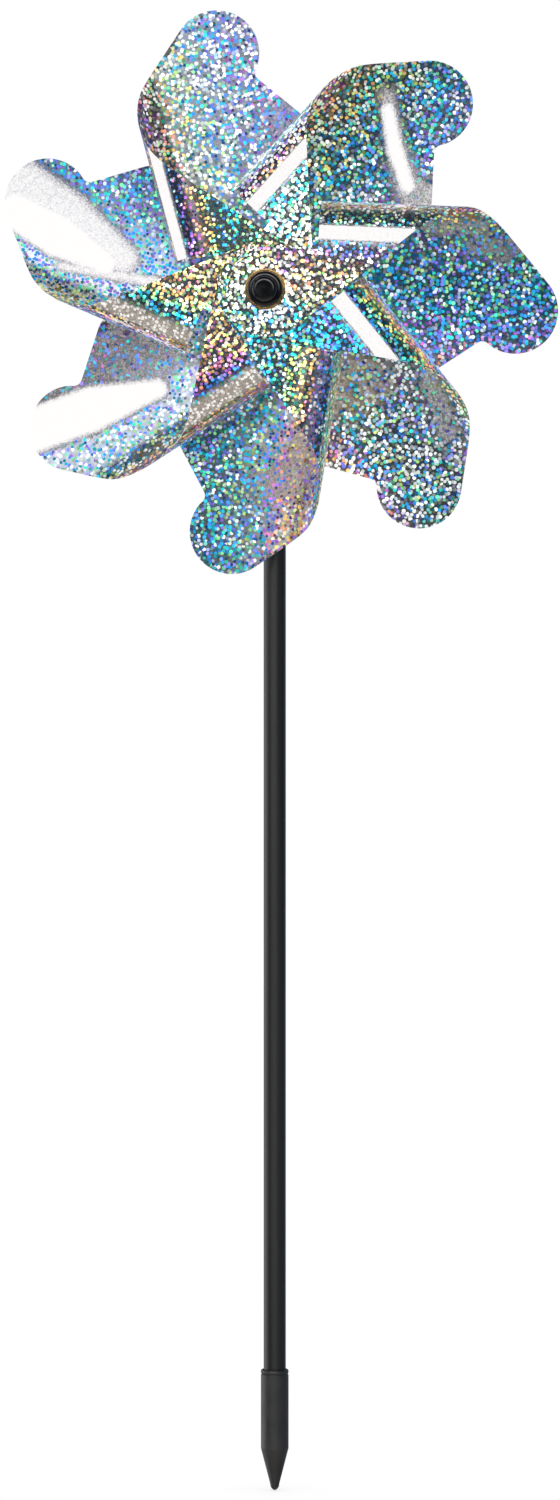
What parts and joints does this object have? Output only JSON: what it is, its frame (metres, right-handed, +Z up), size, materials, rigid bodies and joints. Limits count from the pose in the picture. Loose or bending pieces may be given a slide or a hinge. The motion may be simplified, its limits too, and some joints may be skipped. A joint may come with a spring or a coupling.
{
  "type": "pinwheel",
  "caption": "Garden pinwheel: curled glitter-film blades on a hub that spins on a pin at the top of a thin round stake with a ground spike.",
  "frame": {"origin": "On the stake's axis, at the shoulder of the ground spike, where its cone meets its straight body", "axes": "+Z up along the stake, -Y the way the wheel faces, +X to the right of a viewer in front"},
  "size_m": [0.2969, 0.0761, 0.7978],
  "materials": {
    "film": "thin silver film with fine holographic glitter dots",
    "brass": "polished brass plate",
    "gloss_black": "glossy moulded black plastic",
    "tube_plastic": "off-white extruded plastic",
    "stake_plastic": "satin black extruded plastic",
    "spike_plastic": "matte black moulded plastic"
  },
  "bodies": {
    "stake": {"stake_rod": "stake_plastic", "rod_plug": "stake_plastic", "ground_spike": "spike_plastic", "rear_spacer": "stake_plastic", "rear_washer": "tube_plastic", "pin_nut": "stake_plastic", "axle_pin": "gloss_black", "front_washer": "gloss_black"},
    "wheel": {"blade_1": "film", "blade_2": "film", "blade_3": "film", "blade_4": "film", "blade_5": "film", "blade_6": "film", "blade_7": "film", "front_eyelet": "brass", "rear_eyelet": "brass", "hub_tube": "tube_plastic"}
  },
  "joints": [
    {"name": "wheel_spin", "type": "hinge", "parent": "stake", "child": "wheel", "pos_m": [0, 0, 0.625], "axis": [0, -1, 0], "continuous": true}
  ]
}
